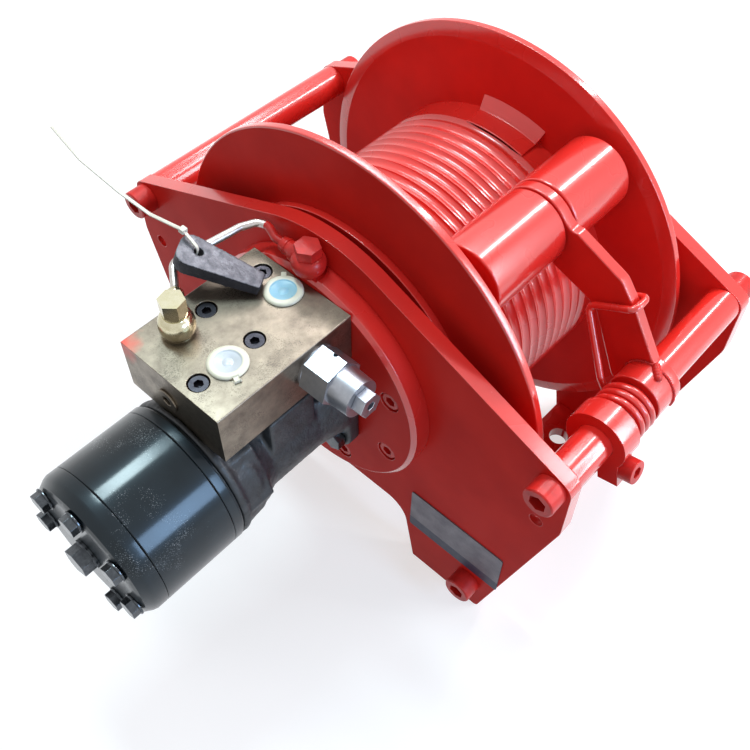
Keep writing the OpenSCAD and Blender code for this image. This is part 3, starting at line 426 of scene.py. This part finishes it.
def spun(profile, steps):
    """A closed profile of [radius, x] points in mm, turned about the drum axis."""
    bm = bmesh.new()
    verts = [bm.verts.new((x * MM, 0, r * MM + AXIS_H)) for r, x in profile]
    edges = [bm.edges.new(pair) for pair in zip(verts, verts[1:] + verts[:1])]
    bmesh.ops.spin(bm, geom=verts + edges, cent=(0, 0, AXIS_H), axis=(1, 0, 0),
                   angle=2 * math.pi, steps=steps, use_merge=True)
    bmesh.ops.remove_doubles(bm, verts=bm.verts, dist=0.001 * MM)
    bmesh.ops.recalc_face_normals(bm, faces=bm.faces)
    return bm


def core_profile():
    """The wall of the core: each groove is an arc, and a short slope rounds each crest."""
    lift = CORE_R - GROOVE_DEPTH + GROOVE_R
    edge = math.asin((GROOVE_R - GROOVE_DEPTH) / GROOVE_R) + CREST_TURN
    half = GROOVE_R * math.cos(edge) + CREST_RUN
    points = [(CORE_IN_R, -DRUM_X), (CORE_R, -DRUM_X)]
    for i in range(GROOVE_N):
        mid = -DRUM_X + PITCH * (i + 0.5)
        points.append((CORE_R - CREST_DROP, mid - half))
        for k in range(ARC_STEPS + 1):
            turn = math.pi + edge + (math.pi - 2 * edge) * k / ARC_STEPS
            points.append((lift + GROOVE_R * math.sin(turn), mid + GROOVE_R * math.cos(turn)))
        points.append((CORE_R - CREST_DROP, mid + half))
    return points + [(CORE_R, -DRUM_X + PITCH * GROOVE_N + LAST_GAP), (CORE_R, DRUM_X),
                     (CORE_IN_R, DRUM_X)]


core = spun(core_profile(), CORE_STEPS)
place(core, "grooved_core", [RED_GLOSS], ["drum_core"], weighted=False)
print("core profile points", len(core_profile()))

# %% [markdown]
# ## Bent wire and tube
# The torsion spring is wound from round wire and its free leg reaches up the arm and
# hooks over its edge. The brake pipe is a thin steel tube bent by hand. Both are one
# round section on a smooth route, so a curve with a round bevel makes them. The route
# is the one that the CAD solid follows.


# %% Routes with rounded corners
def rounded(points, radius, steps=8):
    """The route through points with each inner corner rounded, all in mm."""
    route = [Vector(points[0])]
    for a, b, c in zip(points, points[1:], points[2:]):
        a, b, c = Vector(a), Vector(b), Vector(c)
        u, v = (a - b).normalized(), (c - b).normalized()
        half = u.angle(v) / 2
        run = radius / math.tan(half)
        middle = b + (u + v).normalized() * radius / math.sin(half)
        start_arm, end_arm = b + u * run - middle, b + v * run - middle
        for i in range(steps + 1):
            share = i / steps
            sweep = math.pi - 2 * half
            arm = (start_arm * math.sin((1 - share) * sweep) + end_arm * math.sin(share * sweep))
            route.append(middle + arm / math.sin(sweep))
    return route + [Vector(points[-1])]


def wire(name, route, radius_mm, finish, nodes=(), body=None):
    """A round wire or tube along a route in mm above the drum axis."""
    data = bpy.data.curves.new(name, "CURVE")
    data.dimensions = "3D"
    data.bevel_depth = radius_mm * MM
    data.bevel_resolution = 7
    data.use_fill_caps = True
    spline = data.splines.new("POLY")
    spline.points.add(len(route) - 1)
    for point, at in zip(spline.points, route):
        point.co = (at[0] * MM, at[1] * MM, at[2] * MM + AXIS_H, 1)
    spline.use_smooth = True
    data.materials.append(finish)
    piece = bpy.data.objects.new(name, data)
    bpy.context.scene.collection.objects.link(piece)
    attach(piece, body or BODY_OF[nodes[0]])
    if nodes:
        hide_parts(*nodes)
    return piece


print("points of one rounded corner", len(rounded([(0, 0, 0), (9, 0, 0), (9, 9, 0)], 3)))

# %% Torsion spring
TIE_Y, TIE_Z, TIE_R, WIRE_R = 205.0, 38.0, 14.0, 2.65
WIRE_FIT, COIL_FIT, WIRE_BEND = 0.9, 1.75, 5.0
COIL_R = TIE_R + WIRE_R + COIL_FIT
ARM_X0, ARM_X1, ARM_HUB = 0.0, 9.0, 19.0
LEG_X = ARM_X0 - WIRE_R - WIRE_FIT
FAR_LEG_X = ARM_X1 + WIRE_R + WIRE_FIT
COIL_X1 = LEG_X - ARM_HUB
TURNS, SPRING_PITCH, STEPS_PER_TURN = 3.25, 6.6, 48
# Points of the leg beside the arm, as (y, z) from the tie rod, and the length of the hook
LEG_FOOT, LEG_KNEE, LEG_EDGE, HOOK_L = (26.1, 5.2), (58.5, 43), (28.3, 60.2), 9


def spring_route():
    """Coils round the tie rod, a leg up the arm and a hook over the arm's edge."""
    foot, knee, edge = [Vector((-TIE_Y + y, TIE_Z + z)) for y, z in (LEG_FOOT, LEG_KNEE, LEG_EDGE)]
    to_foot = foot + Vector((TIE_Y, -TIE_Z))
    last = math.atan2(to_foot.y, to_foot.x) - math.acos(COIL_R / to_foot.length)
    coil_x0 = COIL_X1 - TURNS * SPRING_PITCH
    steps = round(STEPS_PER_TURN * TURNS)
    coil = []
    for i in range(steps + 1):
        turn = last - 2 * math.pi * TURNS * (1 - i / steps)
        coil.append((coil_x0 + (COIL_X1 - coil_x0) * i / steps, -TIE_Y + COIL_R * math.cos(turn),
                     TIE_Z + COIL_R * math.sin(turn)))
    out = (edge - knee).normalized()
    cross_at = edge + out * (WIRE_R + WIRE_FIT)
    back = edge - out * HOOK_L
    leg = rounded([coil[-1], (COIL_X1, *foot), (LEG_X, *knee), (LEG_X, *cross_at),
                   (FAR_LEG_X, *cross_at), (FAR_LEG_X, *back)], WIRE_BEND)
    return coil + [tuple(p) for p in leg[1:]]


wire("torsion_spring_wire", spring_route(), WIRE_R, RED_GLOSS, ["torsion_spring"])
print("spring points", len(spring_route()))

# %% Brake pipe
PIPE_POINTS = [(-205.84, 48.12, 106), (-200.91, 54.43, 106), (-189.5, 69, 110), (-135, 61.5, 110),
               (-124, 56, 110.5), (-121.3, 48, 111), (-126.5, 35, 111), (-126.5, 25, 111)]
PIPE_R, PIPE_BEND = 3.0, 8.0
pipe_run = rounded(PIPE_POINTS, PIPE_BEND)
wire("brake_pipe_tube", pipe_run, PIPE_R, TUBE, ["brake_pipe"])
print("pipe points", len(pipe_run))

# %% [markdown]
# ## Rough casting of the motor
# The motor housing is a sand casting: its skin is pebbly, its edges are soft and no
# face is quite flat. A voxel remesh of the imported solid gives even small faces, a
# smoothing pass rounds what the sand mould would round, and noise at two sizes moves
# each point a little along its normal.


# %% Remesh and roughen a casting
FACES_UP = 0.6


def cast_skin(name, node, voxel_mm, smooth_steps, lumps, finishes, grow=None):
    """A cast copy of a node: lumps are (size mm, height mm) pairs of noise, grow is a
    direction and a height in mm by which the faces on that side are raised, and a
    second finish, a darker copy that paints shade, goes on the faces that don't look up."""
    bm = copy_node(node)
    if grow:
        way, height_mm = grow
        for vert in {v for f in bm.faces if f.normal.dot(way) > 0.9 for v in f.verts}:
            vert.co += way * height_mm * MM
    mesh = bpy.data.meshes.new(name)
    bm.to_mesh(mesh)
    bm.free()
    draft = bpy.data.objects.new(name, mesh)
    bpy.context.scene.collection.objects.link(draft)
    remesh = draft.modifiers.new("voxels", "REMESH")
    remesh.mode = "VOXEL"
    remesh.voxel_size = voxel_mm * MM
    seen = draft.evaluated_get(bpy.context.evaluated_depsgraph_get())
    even = bpy.data.meshes.new_from_object(seen)
    bpy.data.objects.remove(draft)
    bm = bmesh.new()
    bm.from_mesh(even)
    for _ in range(smooth_steps):
        bmesh.ops.smooth_vert(bm, verts=bm.verts, factor=0.5, use_axis_x=True, use_axis_y=True,
                              use_axis_z=True)
    bm.normal_update()
    for vert in bm.verts:
        rise = sum(h * noise.noise(vert.co / (size * MM)) for size, h in lumps)
        vert.co += vert.normal * (rise - sum(h for _, h in lumps) * 0.5) * MM
    # Faces that don't look up take the darker second finish: painted shade
    if len(finishes) > 1:
        for face in bm.faces:
            face.material_index = int(face.normal.z < FACES_UP)
    return place(bm, name, finishes, [node], weighted=False)


WEDGE_A, WEDGE_TILT = math.radians(120.9), math.radians(19.3)
WEDGE_AT = Vector((-157.8, 18.7, 96.8))
WEDGE_U = Vector((math.cos(WEDGE_A) * math.cos(WEDGE_TILT),
                  math.sin(WEDGE_A) * math.cos(WEDGE_TILT), math.sin(WEDGE_TILT)))
WEDGE_V = Vector((-math.sin(WEDGE_A), math.cos(WEDGE_A), 0))
WEDGE_W = WEDGE_U.cross(WEDGE_V)
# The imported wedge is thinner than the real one, so its top face is raised by this much
WEDGE_RISE = 4.5
housing = cast_skin("motor_housing_casting", "motor_housing", 1.4, 3, [(14, 0.35), (3.5, 0.22)],
                    [CASTING])
# The wedge's faces that don't look up are painted darker, as shade
wedge = cast_skin("rope_wedge_casting", "rope_wedge", 0.8, 2, [(9, 0.3), (2.2, 0.2)],
                  [GREY_IRON, SHADED_IRON], grow=(WEDGE_W, WEDGE_RISE))
print("casting faces", len(housing.data.polygons), "wedge faces", len(wedge.data.polygons))

# %% [markdown]
# ## Dust caps
# Each oil port is closed by a pressed plastic cap: a thick rim with a pull tab, and a
# thin dished middle. A profile spun about the port axis gives rim and dish, and a
# small rounded block gives the tab. The middle of the far cap has stayed blue, the
# near one has gone milky.


# %% A profile turned about an upright axis
def turn_up(bm, profile, at, steps=48):
    """Adds a [radius, z] profile turned about an upright axis, in mm above the drum axis."""
    x, y = at
    fresh = [bm.verts.new(((x + r) * MM, y * MM, AXIS_H + z * MM)) for r, z in profile]
    edges = [bm.edges.new(pair) for pair in zip(fresh, fresh[1:])]
    bmesh.ops.spin(bm, geom=fresh + edges, cent=(x * MM, y * MM, 0), axis=(0, 0, 1),
                   angle=2 * math.pi, steps=steps, use_merge=True)
    bmesh.ops.remove_doubles(bm, verts=bm.verts, dist=0.001 * MM)


BLOCK_TOP = 96.5
# Rim and dish of a cap as (radius, height over the block), with the plug below
CAP_PROFILE = [(0, 1.3), (3.2, 1.3), (3.5, 1.0), (3.9, 1.0), (4.3, 1.4), (8.4, 1.5), (8.9, 1.8),
               (9.4, 2.3), (10.2, 2.5), (12.2, 2.4), (13.3, 1.9), (13.9, 1.2), (14, 0.4),
               (13.6, 0.05), (11.4, 0.05), (11.4, -8), (0, -8)]
DISH_R = 9.2
print("cap profile points", len(CAP_PROFILE))

# %% Spin the caps and add their tabs
FAR_CAP, NEAR_CAP = (-149, 5.5), (-216, -13)
TAB_SIZE, TAB_OUT, TAB_UP, TAB_EDGE = (4.4, 3.8, 1.4), 15.2, 0.9, 0.6
bm = bmesh.new()
for cap_at, tab_turn in ((FAR_CAP, 45), (NEAR_CAP, 250)):
    turn_up(bm, [(r, BLOCK_TOP + z) for r, z in CAP_PROFILE], cap_at)
    way = Vector((math.cos(math.radians(tab_turn)), math.sin(math.radians(tab_turn)), 0))
    turned = Matrix((way, (-way.y, way.x, 0), (0, 0, 1))).transposed()
    tab_at = (Vector((*cap_at, BLOCK_TOP + TAB_UP)) + way * TAB_OUT) * MM + Vector((0, 0, AXIS_H))
    tab = bmesh.ops.create_cube(bm, size=1.0)["verts"]
    for vert in tab:
        vert.co = tab_at + turned @ (vert.co * Vector(TAB_SIZE)) * MM
    bmesh.ops.bevel(bm, geom=list({e for v in tab for e in v.link_edges}),
                    offset=TAB_EDGE * MM, offset_type="OFFSET", affect="EDGES", segments=3,
                    profile=0.5, clamp_overlap=True, material=-1)
bmesh.ops.recalc_face_normals(bm, faces=bm.faces)
for face in bm.faces:
    middle = (face.calc_center_median() / MM).to_2d()
    for finish, cap_at in ((1, FAR_CAP), (2, NEAR_CAP)):
        if (middle - Vector(cap_at)).length < DISH_R:
            face.material_index = finish
place(bm, "dust_caps", [CAP_RIM, CAP, CAP_MILK], ["port_caps"], weighted=False)
print("caps made")

# %% [markdown]
# ## Banjo unions
# A banjo union is a ball-shaped eye round a hollow bolt, with a stub for the pipe. The
# eye is turned, so its profile is spun about the bolt, and the stub is spun along its
# own axis from the same kind of profile. One is zinc plated, the other was sprayed
# with the winch and the red mist runs out along its pipe.


# %% Turn the banjo eyes
def turn_along(bm, profile, start_at, way, steps=36):
    """Adds a [radius, distance] profile turned about any axis, in mm above the drum axis."""
    way = Vector(way).normalized()
    side = way.orthogonal().normalized()
    origin = Vector(start_at) * MM + Vector((0, 0, AXIS_H))
    fresh = [bm.verts.new(origin + (way * d + side * r) * MM) for r, d in profile]
    edges = [bm.edges.new(pair) for pair in zip(fresh, fresh[1:])]
    bmesh.ops.spin(bm, geom=fresh + edges, cent=origin, axis=way, angle=2 * math.pi, steps=steps,
                   use_merge=True)
    bmesh.ops.remove_doubles(bm, verts=bm.verts, dist=0.001 * MM)


def banjo(name, node, finish, at, eye, stub_h, stub, stub_way):
    """A banjo: at is (x, y), eye a [radius, z] and stub a [radius, distance] profile."""
    bm = bmesh.new()
    turn_up(bm, eye, at)
    turn_along(bm, stub, (*at, stub_h), stub_way)
    bmesh.ops.recalc_face_normals(bm, faces=bm.faces)
    return place(bm, name, [finish], [node], weighted=False)


STUB_TURN = math.radians(52)
banjo("block_banjo_turned", "block_banjo", YELLOW, (-220, 30),
      [(0, 96.5), (9.4, 96.5), (9.6, 97.6), (10.8, 98.3), (11.9, 100.4), (12.4, 103), (12.45, 106),
       (12.0, 109), (11.0, 111.4), (9.6, 113), (8.6, 113.6), (8.4, 114), (0, 114)],
      106, [(0, 6), (4.6, 6), (4.6, 17.6), (5.6, 18.2), (6.0, 18.8), (6.0, 25.6), (5.3, 26.8),
            (3.1, 27), (3.1, 22), (0, 22)], (math.cos(STUB_TURN), math.sin(STUB_TURN), 0))
banjo("brake_banjo_turned", "brake_banjo", RED_THICK, (-126.5, 3),
      [(0, 101.5), (8.6, 101.5), (9.2, 103), (11.0, 105), (12.2, 108), (12.5, 111), (12.0, 113.6),
       (10.6, 116), (9.0, 117.2), (0, 117.4)],
      111, [(0, 8), (7.4, 8), (7.2, 14), (6.0, 15.4), (5.8, 18.6), (6.3, 19), (6.3, 20),
            (5.6, 20.4), (5.2, 24.6), (3.1, 25), (3.1, 21), (0, 21)], (0, 1, 0))
# The sprayed end of the pipe is a skin of 0.06 mm over the tube
sprayed_run = [p for p in pipe_run if p.x > -130 and p.y < 50]
wire("red_mist_on_pipe", sprayed_run, PIPE_R + 0.06, RED_THICK, body="frame")
print("banjos made")

# %% [markdown]
# ## Name plate and cable tie
# The plate is bare dull sheet with a dark printed band along its foot. The tie is a
# nylon strap: it comes up through the hole of the wedge, runs through its square head
# and ends in a long free tail, so one flat section follows the whole route.

# %% Band on the plate
BAND_H = 12.5
bm = copy_node("name_plate")
band_top = min(v.co.z for v in bm.verts) + BAND_H * MM
bmesh.ops.bisect_plane(bm, geom=list(bm.verts) + list(bm.edges) + list(bm.faces),
                       plane_co=(0, 0, band_top), plane_no=(0, 0, 1))
for face in bm.faces:
    face.material_index = int(face.calc_center_median().z < band_top)
plate = place(bm, "name_plate_dressed", [SHEET, BAND], ["name_plate"], weighted=False)
print("plate faces", len(plate.data.polygons))


# %% Strap and head of the cable tie
def on_wedge(u, v, w):
    """The point u along the wedge, v across it and w above its lower face, in mm."""
    return WEDGE_AT + WEDGE_U * u + WEDGE_V * v + WEDGE_W * w


def strap(bm, points, width_mm, thick_mm, across):
    """Adds a flat strap along the points, across is the rough direction of its width."""
    rings = []
    for i, point in enumerate(points):
        ahead = (points[min(i + 1, len(points) - 1)] - points[max(i - 1, 0)]).normalized()
        wide = (across - ahead * across.dot(ahead)).normalized() * width_mm / 2
        thick = ahead.cross(wide).normalized() * thick_mm / 2
        ring = [bm.verts.new((point + wide * a + thick * b) * MM + Vector((0, 0, AXIS_H)))
                for a, b in ((1, 1), (-1, 1), (-1, -1), (1, -1))]
        rings.append([bm.edges.new(pair) for pair in zip(ring, ring[1:] + ring[:1])])
    for one, two in zip(rings, rings[1:]):
        bmesh.ops.bridge_loops(bm, edges=one + two)
    bmesh.ops.holes_fill(bm, edges=rings[0] + rings[-1], sides=4)


STRAP_W, STRAP_T, STRAP_BEND = 2.5, 1.1, 3.0
HEAD_W, HEAD_T, HEAD_HALF = 4.6, 3.6, 2.2
# The strap leaves the hole at its far edge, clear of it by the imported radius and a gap
HOLE_AT, HOLE_R, STRAP_R, STRAP_GAP = 46, 3, 1.4, 0.4
TIE_UP = HOLE_AT + HOLE_R - STRAP_R - STRAP_GAP
hole_low, hole_top = on_wedge(TIE_UP, -1, 1), on_wedge(TIE_UP, -1, 13.6)
HEAD_AT = on_wedge(61, -9, 16)
TAIL = [Vector(p) for p in ((-181, 98, 130), (-184, 125, 135), (-186, 163, 143), (-181, 200, 148))]
tie_points = rounded([hole_low, hole_top, HEAD_AT] + TAIL, STRAP_BEND, steps=4)
bm = bmesh.new()
strap(bm, tie_points, STRAP_W, STRAP_T, WEDGE_V)
head_way = (TAIL[0] - hole_top).normalized()
head_wide = (WEDGE_V - head_way * WEDGE_V.dot(head_way)).normalized()
head_ends = [HEAD_AT - head_way * HEAD_HALF, HEAD_AT + head_way * HEAD_HALF]
strap(bm, head_ends, HEAD_W, HEAD_T, head_wide)
bmesh.ops.recalc_face_normals(bm, faces=bm.faces)
soften(bm, 0.3, sharp_deg=60)
place(bm, "cable_tie_strap", [NYLON], ["cable_tie"], weighted=False)
print("strap points", len(tie_points))

# %% [markdown]
# ## Weld beads
# The arm plate is welded to its hub. A bead is laid in overlapping drops, so a row of
# small balls that sink into each other stands for it, each a little larger or
# smaller by noise. A thin ring follows the joint, and a thick short row is the lump
# where the edge of the arm meets the hub.


# %% Lay the beads
# Spread of the drops' size, then radius of the row and of its drops in mm
DROP_SPREAD = 0.18
RING_R, RING_DROP = 20.6, 1.3
LUMP_R, LUMP_DROP = 21, 3.2


def bead(name, points, radius_mm, body):
    """A weld bead along points in mm above the drum axis."""
    bm = bmesh.new()
    for i, point in enumerate(points):
        swell = radius_mm * (1 + DROP_SPREAD * noise.noise(Vector((i * 1.7, 3.1, 0.4))))
        made = bmesh.ops.create_icosphere(bm, subdivisions=2, radius=swell * MM)["verts"]
        for vert in made:
            vert.co += Vector(point) * MM + Vector((0, 0, AXIS_H))
    return place(bm, name, [RED_THICK], body=body, weighted=False)


def round_hub(x, radius, degrees):
    """A point round the tie rod's axis, the angle is taken from +Y."""
    turn = math.radians(degrees)
    return (x, -TIE_Y + radius * math.cos(turn), TIE_Z + radius * math.sin(turn))


hub_points = [round_hub(-0.4, RING_R, a) for a in range(20, 200, 5)]
bead("hub_weld", hub_points, RING_DROP, "arm")
lump_points = [round_hub(-0.3 - 1.6 * k, LUMP_R, 93 + 4 * k) for k in range(5)]
bead("arm_edge_weld", lump_points, LUMP_DROP, "arm")
print("beads", len(hub_points) + len(lump_points), "drops")

# %% [markdown]
# ## Studio
# Five strip lamps over a plain white floor. A mirror-smooth cylinder shows a lamp only
# where the reflected view meets it, so each lamp hangs where a highlight of the
# photograph points. The overhead and front strips light the whole winch, the roller
# light draws the white line along rollers and rods, and two small bluish lamps draw
# the bands on the black motor.


# %% Lamps
def strip_light(name, target, direction, distance, length, width, power, colour):
    """An area lamp: length in metres goes across the drum axis, width goes along it."""
    data = bpy.data.lights.new(name, "AREA")
    data.shape = "RECTANGLE"
    data.size, data.size_y = length, width
    data.energy = power
    data.color = colour
    lamp = bpy.data.objects.new(name, data)
    bpy.context.scene.collection.objects.link(lamp)
    way = Vector(direction).normalized()
    along = way.cross(Vector((1, 0, 0))).normalized()
    lamp.location = Vector(target) + way * distance
    lamp.rotation_euler = Matrix((along, way.cross(along), way)).transposed().to_euler()
    return lamp


DRUM_AIM, ROLLER_AIM, MOTOR_AIM = (0, 0, 0.25), (0, -0.09, 0.32), (-0.3, -0.01, 0.25)
# Name, aim, direction, distance, length, width, watts and colour
for lamp in (
        ("overhead_strip", DRUM_AIM, (0.454, 0.246, 0.857), 1.3, 1.5, 0.105, 9.5, (1.0, 0.96, 1.0)),
        ("roller_light", ROLLER_AIM, (0.75, -0.07, 0.83), 1.15, 0.1, 0.5, 5.5, (1.0, 0.97, 1.0)),
        ("motor_top_light", MOTOR_AIM, (0.24, 0.41, 1.11), 1.2, 0.36, 0.12, 7, (0.74, 0.95, 1.0)),
        ("motor_front_light", MOTOR_AIM, (0.26, -1.11, 0.42), 1.2, 0.5, 0.24, 6.5, (0.42, 0.66, 1.0)),
        ("front_strip", DRUM_AIM, (0.454, -0.794, 0.405), 1.3, 1.15, 0.105, 8, (0.94, 0.94, 1.0))):
    strip_light(*lamp)

# %% [markdown]
# ## Floor and world
# The floor is one large square. It is lit like paper, and a glow that only the eye
# and mirrors see lifts it to white, so the soft shadow under the winch stays. Far out
# the glow rises to full white, so no horizon shows. The world does the same: white
# to the eye and to mirrors, and a dimmer, even fill light to everything else.

# %% Floor and world
FLOOR_HALF = 3
NEAR_GLOW, FAR_GLOW, NEAR_M, FAR_M = 0.62, 1.0, 0.6, 1.6
FILL_LEVEL, SEEN_LEVEL = 0.4, 1.0


def background_share(mat):
    """1 where the eye, a mirror or a glass looks at the background, else 0."""
    rays = add(mat, "ShaderNodeLightPath")
    seen = add(mat, "ShaderNodeMath", {0: rays.outputs["Is Camera Ray"],
                                       1: rays.outputs["Is Glossy Ray"]}, operation="ADD")
    return add(mat, "ShaderNodeMath", {0: seen.outputs[0], 1: rays.outputs["Is Transmission Ray"]},
               operation="ADD", use_clamp=True).outputs[0]


bm = bmesh.new()
bmesh.ops.create_grid(bm, x_segments=1, y_segments=1, size=FLOOR_HALF)
floor_mesh = bpy.data.meshes.new("studio_floor")
bm.to_mesh(floor_mesh)
bm.free()
floor = bpy.data.objects.new("studio_floor", floor_mesh)
bpy.context.scene.collection.objects.link(floor)
floor_mat, floor_shader, floor_where = start("white_studio_floor")
floor_shader.inputs["Base Color"].default_value = lin("#B4B4B4")
floor_shader.inputs["Roughness"].default_value = 0.8
floor_shader.inputs["Specular IOR Level"].default_value = 0.0
floor_shader.inputs["Emission Color"].default_value = (1, 1, 1, 1)
floor_seen = background_share(floor_mat)
floor_reach = add(floor_mat, "ShaderNodeVectorMath", {0: floor_where}, operation="LENGTH")
floor_level = add(floor_mat, "ShaderNodeMapRange", {
    "Value": floor_reach.outputs["Value"], 1: NEAR_M, 2: FAR_M, 3: NEAR_GLOW, 4: FAR_GLOW})
floor_glow = add(floor_mat, "ShaderNodeMath", {0: floor_seen, 1: floor_level.outputs[0]},
                 operation="MULTIPLY")
floor_mat.node_tree.links.new(floor_glow.outputs[0], floor_shader.inputs["Emission Strength"])
floor.data.materials.append(floor_mat)

world = bpy.data.worlds.new("studio_light")
world.use_nodes = True
bpy.context.scene.world = world
tree = world.node_tree
background = tree.nodes["Background"]
background.inputs["Color"].default_value = (1, 1, 1, 1)
level = add(world, "ShaderNodeMix", {0: background_share(world), 2: FILL_LEVEL, 3: SEEN_LEVEL})
tree.links.new(level.outputs[0], background.inputs["Strength"])
bpy.context.scene.view_settings.view_transform = "Standard"
print("floor and world", FLOOR_HALF, FILL_LEVEL, SEEN_LEVEL)

# %% Import json
import json
